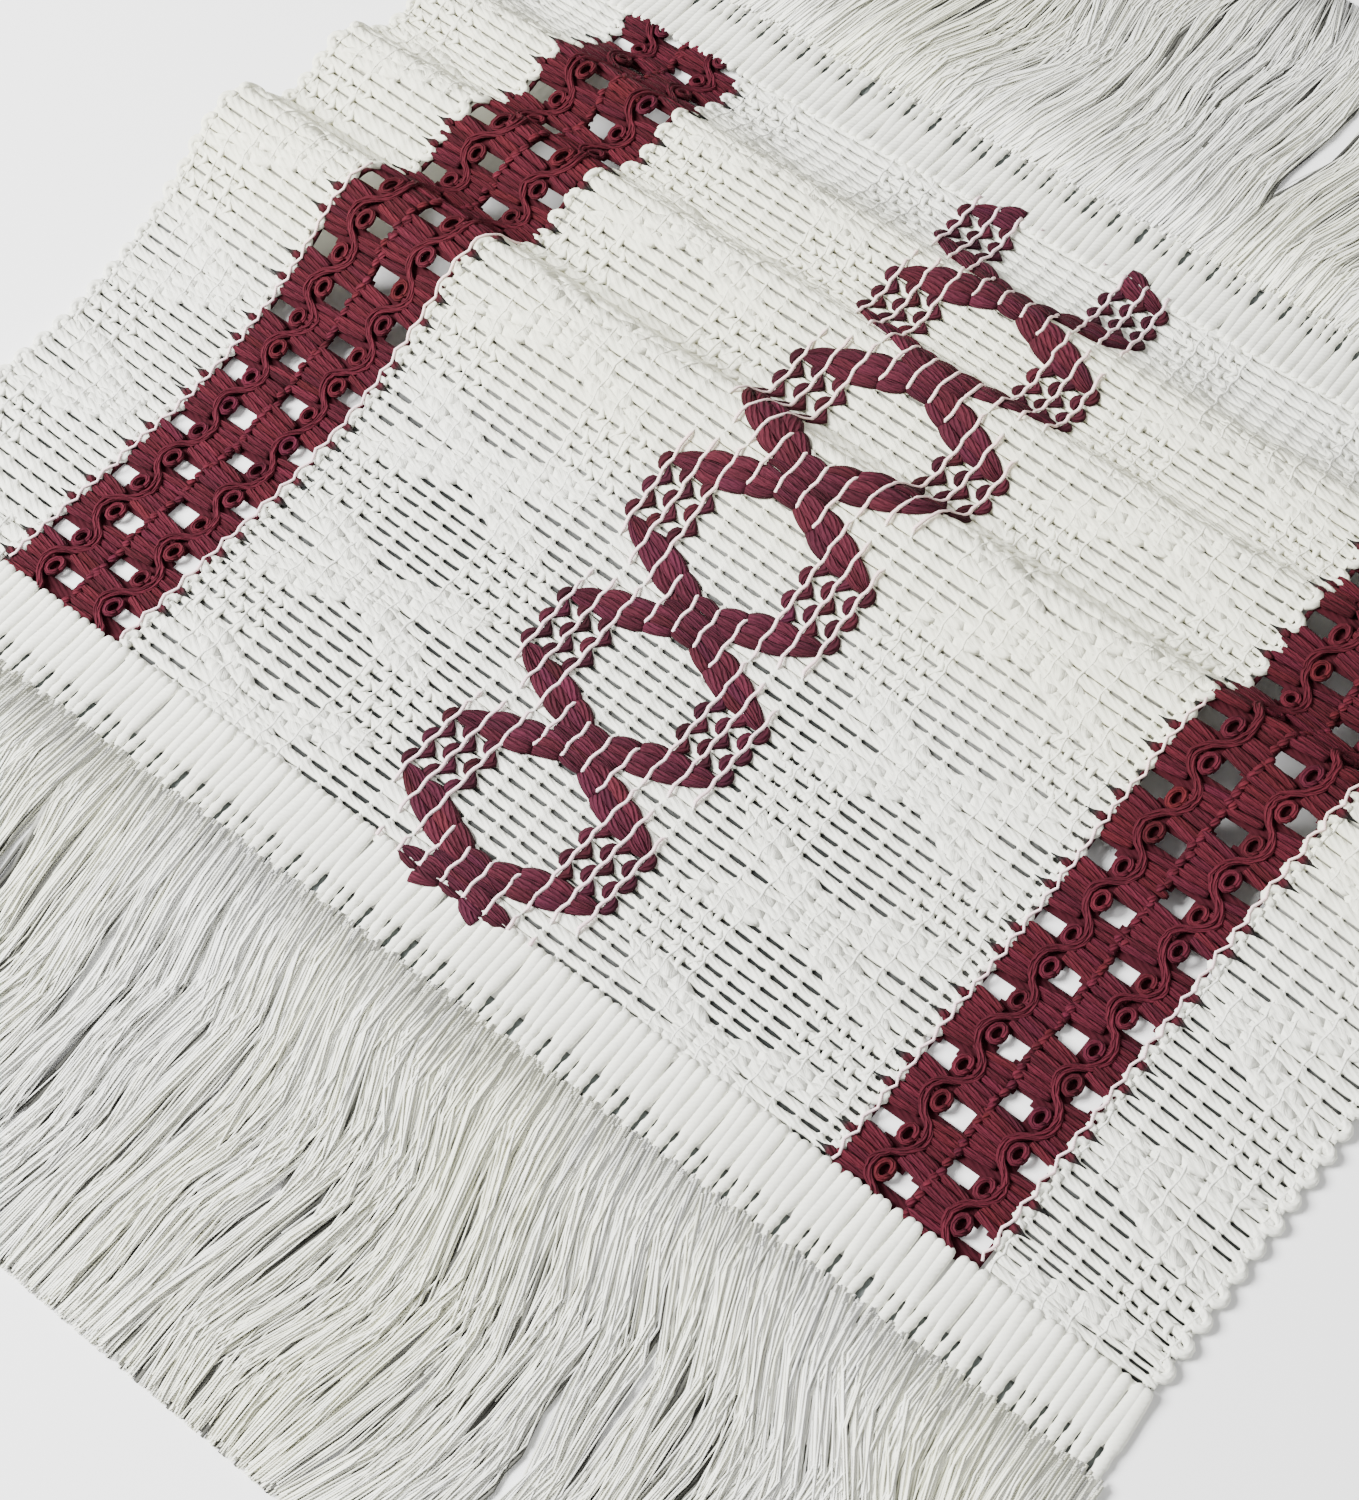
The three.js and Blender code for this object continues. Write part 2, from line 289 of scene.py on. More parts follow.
def columns(left, right):
    """The pillar threads that lie between two edges, at odd multiples of half a wale from the middle."""
    every = (np.arange(-30, 30) + 0.5) * WALE
    return every[(every > left + 1.2) & (every < right - 1.2)]


print("pillar threads of the centre panel:", len(columns(-CENTRE_HALF, CENTRE_HALF)))

# %% [markdown]
# ## The ring chain as a chart
# A chain of rings runs along the middle in burgundy, and the same chain is knitted in cream on each side. A
# knitter's chart says which cells belong to an arm of the chain, which to a lobe and which to plain ground.
# Here the chart is two short formulas on d, the distance from the chain's middle in millimetres, and on q,
# the distance from the nearest crossing in rows.

# %% Chart of plain ground, arms and lobes
CHAINS = (-148.0, -66.0, 0.0, 66.0, 148.0)  # middles of the chains, the third one burgundy
CHAIN_PERIOD = 12  # rows
CROSSING = 0.85  # row of the first crossing


def chart(x, row):
    """0 on plain ground, 1 on an arm (|q - 0.1 d| < 1.35, d < 28), 2 on a lobe (q > 2.2, 12.5 < d < 31)."""
    kind = np.zeros(np.broadcast(x, row).shape, int)
    q = np.abs((row - CROSSING + CHAIN_PERIOD / 2) % CHAIN_PERIOD - CHAIN_PERIOD / 2)
    for middle in CHAINS:
        d = np.abs(x - middle)
        lobe = (d > 12.5) & (d < 31) & (q > 2.2)
        arm = (np.abs(q - 0.1 * d) < 1.35) & (d < 28)
        kind = np.where(lobe, 2, kind)
        kind = np.where(arm, 1, kind)
    return kind


sample = chart(np.linspace(-40, 40, 161)[None], np.arange(0, 24)[:, None])
print("chart cells, plain/arm/lobe:", np.bincount(sample.reshape(-1)))

# %% [markdown]
# ## Backing sheets
# Under the yarns lies the thin flat tangle of the knit's underside. It is a closed slab that follows the
# folds. Its upper side is painted near black, a painted shade under the yarns that shows only through the
# slits, and from the first fold on it is painted a little lighter, a painted light where more light comes
# in. Its lower side is cream.


# %% Closed slabs that follow the folds
SLAB_INSET = 0.15  # how far a slab stays inside the ends of its cloth
SLAB = (0.1, 0.9)  # heights of its lower and its upper side


def slab(name, left, right, columns_across):
    """A slab between edges left(s) and right(s): an upper grid, a lower grid and a rim that joins them."""
    s = np.linspace(SLAB_INSET, LENGTH - SLAB_INSET, ROWS + 1)
    t = np.linspace(0, 1, columns_across + 1)
    x = left(s)[None] * (1 - t[:, None]) + right(s)[None] * t[:, None]
    bottom, top = (places(x, s, high) for high in SLAB)
    verts = lay(np.stack([top, bottom])).reshape(-1, 3)
    index = np.arange(2 * x.size).reshape(2, *x.shape)

    def faces(grid):
        return np.stack([grid[:-1, :-1], grid[1:, :-1], grid[1:, 1:], grid[:-1, 1:]], -1).reshape(-1, 4)

    def rim(line):
        over, under = index[0][line], index[1][line]
        return np.stack([over[:-1], over[1:], under[1:], under[:-1]], -1)

    quads = np.concatenate([
        faces(index[0]), faces(index[1])[:, ::-1],
        rim((0, slice(None))), rim((-1, slice(None)))[:, ::-1],
        rim((slice(None), 0))[:, ::-1], rim((slice(None), -1)),
    ])
    # Painted shade and painted light: near black on top, lighter in soft waves and from the first fold on.
    painted_light = 0.05 * (0.5 + 0.5 * np.sin(x * 0.06 + s * 0.031)) + 0.12 * smooth(s / ROW, 24, 34)
    upper = (SHADE + painted_light[..., None]).reshape(-1, 3)
    colour = np.concatenate([upper, np.broadcast_to(CREAM, upper.shape)])
    flat_uv = np.concatenate([top[..., :2].reshape(-1, 2)] * 2)
    return new_object(name, verts, quads, flat_uv[quads.reshape(-1)], colour)


def edge(x, depth, inset):
    """x + inset + depth cos(pi s / pitch): a straight edge with a small wave for each pair of rows."""
    return lambda s: x + inset + depth * np.cos(np.pi * s / ROW)


centre_cloth = slab("centre_cloth", edge(-CENTRE_HALF, 0.4, 0.9), edge(CENTRE_HALF, 0.4, -0.9), 16)
left_cloth = slab("left_border_cloth", edge(-SELVEDGE, 0.5, 1.6), edge(-BAND_OUTER, 0.4, -0.9), 4)
right_cloth = slab("right_border_cloth", edge(BAND_OUTER, 0.4, 0.9), edge(SELVEDGE, 0.5, -1.6), 4)
print("backing sheets:", [len(p.data.polygons) for p in (centre_cloth, left_cloth, right_cloth)])

# %% [markdown]
# ## Weft rows
# Each weft is a broad flat yarn. Neighbouring wefts touch at the pillar threads and part between them,
# which leaves the dark slits that make the plain ground look dashed. So a weft is a strip between two row
# lines, and every row line opens by a slit in the middle of each wale. Under the burgundy chain the slits
# are shut at the arms and short at the lobes. Under the cream chains they stay partly open.

# %% Places and slits across a panel
SLIT_PLACES = np.array([0.0, 0.10, 0.17, 0.5, 0.83, 0.90])  # shares of a wale where a row line is measured
SLIT_OPEN = np.array([0.0, 0.0, 1.0, 1.0, 1.0, 0.0])
SLIT_THIRD = np.array([0, 0, 0, 1, 2, 2])  # left, middle or right third of the slit
SHORT_SLITS = np.array([(1, 0.7, 0), (0, 0.7, 1), (0, 0.9, 0)])  # three ways in which a slit is short
BURGUNDY_REACH = 33  # millimetres from the middle to the first cream chain


def weft_grid(left, right):
    """Places across at which wefts are measured, with the wale and the share of the wale of each."""
    pillars_here = columns(left, right)
    starts = np.concatenate([[pillars_here[0] - WALE], pillars_here])
    x = (starts[:, None] + SLIT_PLACES * WALE).reshape(-1)
    wale = np.repeat(np.arange(len(starts)), len(SLIT_PLACES))
    place = np.tile(np.arange(len(SLIT_PLACES)), len(starts))
    keep = (x > left + 0.8) & (x < right - 0.8)
    x, wale, place = x[keep], wale[keep], place[keep]
    x = np.concatenate([[left + 0.5], x, [right - 0.5]])
    wale = np.concatenate([[wale[0]], wale, [wale[-1]]])
    place = np.concatenate([[0], place, [0]])
    return x, wale, place


def slit_shares(line, middle):
    """How wide each third of every slit opens, by row line and wale: the chart's rule, varied by chance."""
    kind = chart(middle[None], line)[..., None]
    chance = rng.random((len(line), len(middle), 3))
    short = SHORT_SLITS[rng.integers(0, 3, (len(line), len(middle)))] * (0.5 + 0.4 * chance)
    by_burgundy = np.where(kind == 2, short, 0.12 * (chance > 0.8))
    by_cream = np.where(kind == 1, 0.55 * (chance > 0.35) * chance, 0.55 + 0.5 * chance)
    in_chain = np.where(np.abs(middle)[None, :, None] > BURGUNDY_REACH, by_cream, by_burgundy)
    return np.where(kind == 0, 0.75 + 0.5 * chance, in_chain)


# %% The weft rows of one panel
HALF_SLIT = 0.44  # millimetres
WEFT_PROFILE = np.array([(0.0, 0.0), (0.09, 0.72), (0.5, 1.0), (0.91, 0.72), (1.0, 0.0)])  # across, up
CROWN, PINCH = 2.05, 0.06  # height of a weft's middle, and how much the pillars press it down
FOOT_SHUT, FOOT_OPEN, FOOT_MIDDLE = 1.45, 0.75, 0.8  # heights of its edges, and of its flat underside


def weft_rows(name, left, right, looseness):
    """Strips from row line n plus half a slit to row line n + 1 less half a slit.

    The looseness widens the slits, and the height over a strip is foot + (crown - foot) * profile.
    """
    x, wale, place = weft_grid(left, right)
    line = np.arange(-1, KNIT_ROWS + 1)[:, None]
    middle = (np.arange(wale.max() + 1) + 0.5) * WALE + columns(left, right)[0] - WALE
    open_share = slit_shares(line, middle)[:, wale, SLIT_THIRD[place]]
    half = HALF_SLIT * ((1 - 0.5 * smooth(line, 24, 34)) * looseness) * open_share * SLIT_OPEN[place]
    wave = 0.10 * np.sin(line * 1.7 + x * 0.11) + 0.05 * rng.standard_normal((len(line), 1))
    s = along(x[None], line) + wave * ROW * 0.5
    lower, upper = (s + half)[:-1, :, None], (s - half)[1:, :, None]
    count = len(lower)

    v, rise = WEFT_PROFILE.T
    pinch = np.exp(-((np.minimum(SLIT_PLACES, 1 - SLIT_PLACES)[place]) / 0.1) ** 2)
    crown = (CROWN - PINCH * pinch + 0.06 * rng.standard_normal((count, 1)))[..., None]
    foot_low, foot_high = (np.where(h < 0.02, FOOT_SHUT, FOOT_OPEN)[..., None] for h in (half[:-1], half[1:]))
    foot = foot_low * (v < 0.5) + foot_high * (v > 0.5) + FOOT_MIDDLE * (v == 0.5)
    strip = places(x[:, None], lower + (upper - lower) * v, foot + (crown - foot) * rise)
    run = x + rng.uniform(0, UV_SHIFT, (count, 1))
    girth = np.append(v, 2) * ROW
    return join(name, [closed_tubes(lay(strip), run, girth, dyed(CREAM, count, 0.015))])


centre_wefts = weft_rows("centre_wefts", -CENTRE_HALF, CENTRE_HALF, 1.0)
left_wefts = weft_rows("left_border_wefts", -SELVEDGE + 0.6, -BAND_OUTER, 0.6)
right_wefts = weft_rows("right_border_wefts", BAND_OUTER, SELVEDGE - 0.6, 0.8)

# %% [markdown]
# ## The chain's arms and lobes
# Where two colours meet, the knit shows fat patches. In an arm each wale holds one leaf-shaped bundle of
# three yarns that climbs to the next pillar. In a lobe each pillar is edged by half-moons on its left and
# by small triangles on its right. The tables give where an arm's lower and upper edge cross each pillar,
# counted in rows from the crossing. At the heading the first arms bend over and run out along it.

# %% Tables of the chain
ARM = np.array([
    # pillar's distance from the middle, lower edge, upper edge
    (3.115, 0.30, 1.80), (9.345, 0.45, 2.65), (15.575, 1.05, 3.45), (21.8, 1.90, 3.60), (28.03, 3.15, 3.75),
])
CROSSING_BARS = ((-1.2, 1.05), (-0.1, 1.2), (1.05, 1.2))  # row and thickness, in rows
FLARE = np.array([(3.115, -0.25, 1.5), (9.345, -0.3, 1.4), (15.4, -0.35, 0.6)])  # place, row and thickness
LOBE_PILLARS = ARM[2:, 0]
LOBE_ROW = 6.15  # rows from a crossing to the middle of the lobes above it
MOON, TRIANGLE = (1.36, 1.62), (1.5, 1.8)  # millimetres deep and rows long
CROSSINGS = CROSSING + CHAIN_PERIOD * np.arange(-1, 7)


def inside(rows):
    """Whether a patch at these rows is kept, so that the chain is cut off cleanly at both headings."""
    return (rows > -0.6) & (rows < KNIT_ROWS - 0.3)


def leaf(start, end, middle_x, bundle, points, lift):
    """Bundles from (x, row, thickness) start to end, whose thickness and height swell by sin(pi t)."""
    t = np.linspace(0, 1, points)
    swell = np.sin(np.pi * t)
    x, rows, thick = (start[:, i, None, None] * (1 - t) + end[:, i, None, None] * t for i in range(3))
    thick = thick + 0.30 * swell
    share = ((np.arange(bundle) + 0.5) / bundle - 0.5)[None, :, None]
    rows = rows + share * thick + 0.05 * rng.standard_normal((len(start), bundle, 1)) * swell
    wide = np.broadcast_to(thick / bundle * ROW * 0.66, rows.shape)
    height = 1.55 + lift * (0.45 + 0.5 * swell) + 0.12 * lift * rng.standard_normal((len(start), bundle, 1))
    x = x + middle_x
    path = places(x, along(x, rows), height)
    return path.reshape(-1, points, 3), wide.reshape(-1, points)


def arms(middle_x, bundle=3, points=7, lift=1.0):
    """The leaves of the four arms and the bars of every crossing, and the first arms along the heading."""
    x, low, high = ARM.T
    stops = np.stack([x, (low + high) / 2, high - low], 1)
    lows, highs = [], []
    for side in (-1, 1):
        for way in (-1, 1):
            lows.extend(stops[:-1] * [side, way, 1])
            highs.extend(stops[1:] * [side, way, 1])
    for row, thick in CROSSING_BARS:
        lows.append((-x[0], row, thick))
        highs.append((x[0], row, thick))
    for side in (-1, 1):
        lows.append((side * x[0], 0.0, 0.9))
        highs.append((side * (x[1] - 0.4), 0.0, 0.35))
    start, end = (np.concatenate([m + np.array([0, c, 0]) for c in CROSSINGS]) for m in (lows, highs))
    for side in (-1, 1):
        start = np.concatenate([start, FLARE[:2] * [side, 1, 1]])
        end = np.concatenate([end, FLARE[1:] * [side, 1, 1]])
    swap = start[:, 0] > end[:, 0]
    start[swap], end[swap] = end[swap].copy(), start[swap].copy()
    keep = inside((start[:, 1] + end[:, 1]) / 2)
    return leaf(start[keep], end[keep], middle_x, bundle, points, lift)


def lobes(middle_x, points=7, lift=1.0):
    """Half-moons on the left of the pillars, triangles on their right: short tubes flat against them.

    A half-moon bows by sin(pi t)^0.6, and a triangle by 1 - |2 t - 1|.
    """
    t = np.linspace(0, 1, points)
    bow = np.sin(np.pi * t) ** 0.6
    point = 1 - np.abs(2 * t - 1)
    paths, wides = [], []
    for side in (-1, 1):
        for pillar in side * LOBE_PILLARS:
            for left in (True, False):
                outward = left == (side < 0)
                steps = np.array([-2, 0, 2]) if outward else np.array([-1, 1])
                rows = (CROSSINGS[:, None] + LOBE_ROW + steps).reshape(-1)
                rows = rows[inside(rows)]
                rounded = left or pillar > 25
                deep, long = MOON if rounded else TRIANGLE
                depth = deep * (bow if rounded else point)
                x = pillar + middle_x + (-depth - 0.2 if left else depth + 0.2)
                span = rows[:, None] + (t - 0.5) * long
                height = 1.7 + 0.42 * lift + 0.2 * bow
                paths.append(places(x, along(x, span), height))
                wides.append(np.broadcast_to(depth, span.shape) + 0.05)
    return np.concatenate(paths), np.concatenate(wides)


# %% The burgundy chain and its cream twins
def burgundy_chain():
    """Tubes of the middle chain: its leaves and its lobe patches."""
    path, wide = arms(0.0)
    lobe_path, lobe_wide = lobes(0.0)
    return [tube_parts(path, wide, 0.8, dyed(CHAIN_BURGUNDY, len(path), 0.14, 0.08)),
            tube_parts(lobe_path, lobe_wide, 0.62, dyed(CHAIN_BURGUNDY * 0.7, len(lobe_path), 0.2, 0.1))]


ring_chain = join("ring_chain", burgundy_chain())


def cream_chain(middle_x, left, right):
    """The same chain in cream, low and soft, cut off at the panel's edges."""
    out = []
    low_arms, low_lobes = arms(middle_x, 2, 5, 0.2), lobes(middle_x, 5, 0.0)
    for (path, wide), high, share in ((low_arms, 0.30, 0.85), (low_lobes, 0.22, 0.65)):
        keep = (path[..., 0].min(1) > left) & (path[..., 0].max(1) < right)
        dye_and_shade = dyed(CREAM, keep.sum(), 0.015)
        out.append(tube_parts(path[keep], share * wide[keep], high, dye_and_shade, sides=5))
    return out


cream_chains = join("cream_chains", [part for middle_x, left, right in (
    (-66.0, -98.5, -33), (66.0, 33, 98.5), (-148.0, -178, -140.5), (148.0, 140.5, 178),
) for part in cream_chain(middle_x, left, right)])

# %% [markdown]
# ## Pillar threads
# A thin thread chains up every column and ties the wefts down. On cream it hardly shows, but over the
# burgundy patches it stands out as a pale pink line that wavers from side to side once for every two rows.

# %% Pillar threads
ON_BURGUNDY, ON_CREAM, ON_GROUND = 2.85, 1.88, 1.63  # heights of the threads


def pillar_threads(left, right):
    """One tube per column at x + 0.32 sin(pi row + x), dyed pink and raised over the burgundy chain."""
    x = columns(left, right)
    row = np.arange(-0.6, KNIT_ROWS, 0.5)
    xx = x[:, None] + 0.32 * np.sin(np.pi * row + x[:, None]) + 0.06 * rng.standard_normal((len(x), len(row)))
    tied = chart(xx, row[None]) > 0
    burgundy = tied & (np.abs(xx) < 29.5)
    height = np.where(burgundy, ON_BURGUNDY, np.where(tied, ON_CREAM, ON_GROUND))
    path = places(xx, along(xx, row[None]), height)
    wide = np.where(burgundy, 0.48, 0.34)
    dye_and_shade = np.where(burgundy[..., None], PINK, PILLAR_WHITE)
    return tube_parts(path, wide, 0.3, dye_and_shade, sides=4)


pillars = join("pillar_threads", [
    pillar_threads(-CENTRE_HALF, CENTRE_HALF),
    pillar_threads(-SELVEDGE, -BAND_OUTER),
    pillar_threads(BAND_OUTER, SELVEDGE),
])

# %% [markdown]
# ## Yarn loops along the edges
# The wefts turn back at the edge of their panel in fat loops, each as tall as two rows. Three loops match
# one block of the band beside them. Where a block pulls on the edge, its dark yarn shows as a small wedge
# between two loops, and its tip fades into painted shade. A pink thread zigzags along and ties everything
# in. All of it stands on the same four edges, so they are listed once.

# %% Rows of the band's blocks and the edges beside them
# First left-hand block, first right-hand block and period, in rows of the flat cloth.
LEFT_BLOCKS = (2.3, 5.15, 5.87)
RIGHT_BLOCKS = (1.95, 4.7, 5.81)
BAND_EDGES = [  # place, the side of it on which the band lies, first block and period
    (-BAND_OUTER, 1, *LEFT_BLOCKS[::2]), (-CENTRE_HALF, -1, *LEFT_BLOCKS[1:]),
    (CENTRE_HALF, 1, *RIGHT_BLOCKS[::2]), (BAND_OUTER, -1, *RIGHT_BLOCKS[1:]),
]
OUTER_EDGES = [(-SELVEDGE + 1.4, -1, *LEFT_BLOCKS[::2]), (SELVEDGE - 1.4, 1, *RIGHT_BLOCKS[::2])]


def repeats(first, period, low=0.3, high=ROWS - 0.3):
    """first + period * k, as far as the cloth goes."""
    rows = first + period * np.arange(-40, 80)
    return rows[(rows > low) & (rows < high)]


# %% Edge loops
def edge_loops(x, outward, first, period):
    """Half rings of yarn, three to a block: x + outward * (1.9 sin(a) - 0.9) and row - 0.52 cos(a)."""
    rows = repeats(first, period / 3, 0.9, ROWS - 0.9)
    a = np.linspace(-0.25, np.pi + 0.25, 8)
    reach = 1 + 0.18 * rng.standard_normal((len(rows), 1))
    xx = x + outward * (reach * (1.9 * np.sin(a)[None] - 0.9))
    s = ROW * (rows[:, None] - 0.52 * np.cos(a)[None])
    path = places(xx, s, 1.45)
    if outward < 0:
        path = path[:, ::-1]
    return tube_parts(path, 1.2, 1.0, dyed(CREAM, len(rows), 0.015), sides=7)


loops = join("edge_loops", [edge_loops(*where) for where in OUTER_EDGES + BAND_EDGES])

# %% Wedges of band yarn between the loops
WEDGE = np.array([
    # distance into the cream cloth, half width, height, share of burgundy in its dye, the rest painted shade
    (-1.0, 0.6, 1.9, 1.0), (-0.3, 1.0, 2.2, 1.0), (0.7, 1.15, 2.3, 0.8),
    (1.6, 0.7, 2.15, 0.25), (2.6, 0.32, 2.0, 0.0), (4.2, 0.12, 1.9, 0.0),
])


def wedges(x, band_side, first, period):
    """Spindles that point into the cream cloth, one row before and after the middle of every block."""
    rows = (repeats(first, period)[:, None] + np.array([-1, 1]) * period / 6).reshape(-1)
    rows = rows[(rows > 0.5) & (rows < ROWS - 0.5)]
    out, wide, high, share = WEDGE.T
    s = rows[:, None] * ROW + 0.15 * rng.standard_normal((len(rows), 1))
    path = places(x - band_side * out, s, high)
    # Burgundy fading into painted shade towards the tip, where the wedge runs in between the loops.
    dye_and_shade = BURGUNDY * 0.8 * share[:, None] + SHADE * (1 - share[:, None])
    return tube_parts(path, wide, 0.3, np.broadcast_to(dye_and_shade, path.shape))


wedge_yarns = join("edge_wedges", [wedges(*where) for where in BAND_EDGES])


# %% Zigzag threads along the bands
def zigzag(x, band_side, first, period):
    """x + band_side * (1.0 + 0.6 * triangle wave), one turn for each edge loop."""
    row = repeats(first, period / 12, 0.4, ROWS - 0.4)
    wave = np.array([0.0, 1.0, 0.0, -1.0])[np.arange(len(row)) % 4]
    xx = x + band_side * (1.0 + 0.6 * wave + 0.12 * rng.standard_normal(len(row)))
    path = places(xx, row * ROW, 2.55)[None]
    return tube_parts(path, 0.36, 0.3, PINK[None], sides=5)


tie_threads = join("tie_threads", [zigzag(*where) for where in BAND_EDGES])

# %% [markdown]
# ## The openwork bands
# A band is two equal strips side by side. Down the middle of each strip winds a thick cord. At every bend
# the cord holds a block of stacked loops that fan out to the edge, and a small eyelet sits in the hollow of
# the bend. The blocks of the two sides take turns, and the gaps between them are the openings.

# %% Yarns of a band
STRIP = 19.15  # width of one strip
STRANDS_IN_BLOCK = 7
BLOCK_ROWS = 4.35  # height of a block at the edge
END = 0.9  # how far the band's yarns stay inside the ends of the cloth
LOOP_WIDTHS = 1.12 * np.array([0.45, 0.85, 1.0, 1.0, 0.95, 0.9, 0.8])  # half widths from the edge to the cord


def stacked_loops(x_edge, x_cord, rows):
    """Bars from the edge to the cord, seven to a block, a fifth closer together at the cord."""
    share = (np.arange(STRANDS_IN_BLOCK) + 0.5) / STRANDS_IN_BLOCK - 0.5
    t = np.array([0, 0.07, 0.2, 0.45, 0.7, 0.9, 1])
    jitter = rng.standard_normal((len(rows), STRANDS_IN_BLOCK, 3, 1))
    row = rows[:, None, None] + share[None, :, None] * BLOCK_ROWS * (1 - 0.2 * t)
    x = np.broadcast_to(x_edge + (x_cord - x_edge) * t, row.shape)
    x = x + 0.45 * jitter[:, :, 0] * (1 - t) * np.sign(x_cord - x_edge)
    s = row * ROW + 0.16 * jitter[:, :, 1] + 0.25 * share[None, :, None] * np.sin(np.pi * t)
    h = 1.15 + 0.55 * np.sin(np.pi * (0.12 + 0.75 * t)) + 0.16 * jitter[:, :, 2]
    path = places(x, s.clip(END, LENGTH - END), h).reshape(-1, len(t), 3)
    way = 1 if x_edge < x_cord else -1
    return path[:, ::way], np.broadcast_to(LOOP_WIDTHS[::way], path.shape[:2])


def winding_cord(x_middle, first, period):
    """Two uneven strands, 0.52 mm either side of x_middle - 3.1 g, where g is sign(cos) |cos|^0.7."""
    row = np.arange(0.35, ROWS - 0.3, 0.3)
    knots = np.arange(0, ROWS + 3, period / 2)
    uneven, late = (np.interp(row, knots, rng.standard_normal(len(knots))) for _ in range(2))
    wave = np.cos(2 * np.pi * (row - first + 0.16 * late) / period)
    swing = -(3.1 + 0.45 * uneven) * np.sign(wave) * np.abs(wave) ** 0.7
    strand = np.array([-1.0, 1.0])[:, None]
    x = x_middle + swing + strand * (0.52 + 0.12 * uneven) + 0.10 * rng.standard_normal((2, len(row)))
    h = 2.05 + 0.3 * np.abs(wave) + 0.1 * np.sin(row * 2.3) + 0.12 * strand * np.sin(row * 1.1)
    return places(x, row * ROW, h)


def eyelets(x, rows):
    """Oval rings of yarn: (x, s) + (1.6 cos a, 2.3 sin a), their ends overlapping."""
    a = np.linspace(-0.6, 2 * np.pi - 0.3, 12)
    xx = x + 0.15 * rng.standard_normal((len(rows), 1)) + 1.6 * np.cos(a)[None]
    s = np.clip(rows[:, None] * ROW + 2.3 * np.sin(a)[None], 1.0, LENGTH - 1.0)
    h = 1.85 + 0.4 * np.linspace(0, 1, len(a)) + 0.1 * rng.standard_normal((len(rows), 1))
    return places(xx, s, h)


def knobs(x, rows):
    """Short fat beads where the loops of neighbouring strips hook into each other."""
    t = np.array([-1, -0.6, 0, 0.6, 1])
    beads = (rows[:, None] + np.array([-1.5, -0.75, 0.05, 0.8, 1.5])).reshape(-1)
    beads = beads + 0.08 * rng.standard_normal(len(beads))
    s = np.clip(beads[:, None] * ROW + t * 1.2, END, LENGTH - END)
    xx = x + 0.4 * rng.standard_normal((len(beads), 1)) + 0.3 * t
    return places(xx, s, 1.9), np.broadcast_to([0.4, 0.9, 1.05, 0.9, 0.4], s.shape)


def band_parts(left, blocks):
    """All the yarns of one band. What is added to x0 is millimetres from the left edge of a strip."""
    first, second, period = blocks
    left_rows, right_rows = (repeats(row, period, 0.2, ROWS - 0.2) for row in (first, second))
    parts = []
    for strip in (0, 1):
        x0 = left + strip * STRIP
        left_end, right_end = x0 + (0.5, -0.1)[strip], x0 + (20.1, 18.7)[strip]
        for x_edge, x_cord, rows in ((left_end, x0 + 8.9, left_rows), (right_end, x0 + 11.6, right_rows)):
            path, wide = stacked_loops(x_edge, x_cord, rows)
            parts.append(tube_parts(path, wide, 0.95, dyed(BURGUNDY * 0.95, len(path), 0.15, 0.08)))
        path = winding_cord(x0 + 10.4, first, period)
        parts.append(tube_parts(path, 0.6, 0.62, dyed(BURGUNDY * 1.05, len(path), 0.08)))
        for x, rows in ((x0 + 10.9, left_rows), (x0 + 9.9, right_rows)):
            ring = eyelets(x, rows)
            parts.append(tube_parts(ring, 0.78, 0.7, dyed(BURGUNDY * 1.1, len(ring), 0.1, 0.1)))
    for x, rows in ((left + STRIP + 0.2, left_rows), (left + STRIP + 0.6, right_rows)):
        path, wide = knobs(x, rows)
        parts.append(tube_parts(path, wide, wide * 0.75, dyed(BURGUNDY * 1.1, len(path), 0.15, 0.1)))
    return parts


left_band_yarns = join("left_band_yarns", band_parts(-BAND_OUTER, LEFT_BLOCKS))
right_band_yarns = join("right_band_yarns", band_parts(CENTRE_HALF, RIGHT_BLOCKS))

# %% [markdown]
# Behind the blocks runs a flat net of the same yarn, painted darker for the shade it lies in. It is a grid
# with its cells taken out at the openings, and a Solidify modifier gives it its thickness. Its openings are
# a little smaller than those between the yarns, so that a narrow rim of the net in painted shade shows
# inside them.

# %% The net behind the blocks
LEFT_HALVES, RIGHT_HALVES = (4.4, 23.4), (14.9, 33.9)  # middles of the openings, from the band's left edge
HALF_ACROSS, HALF_ALONG = 3.1, 2.6  # half axes of an opening
NET_HEIGHT = 0.95


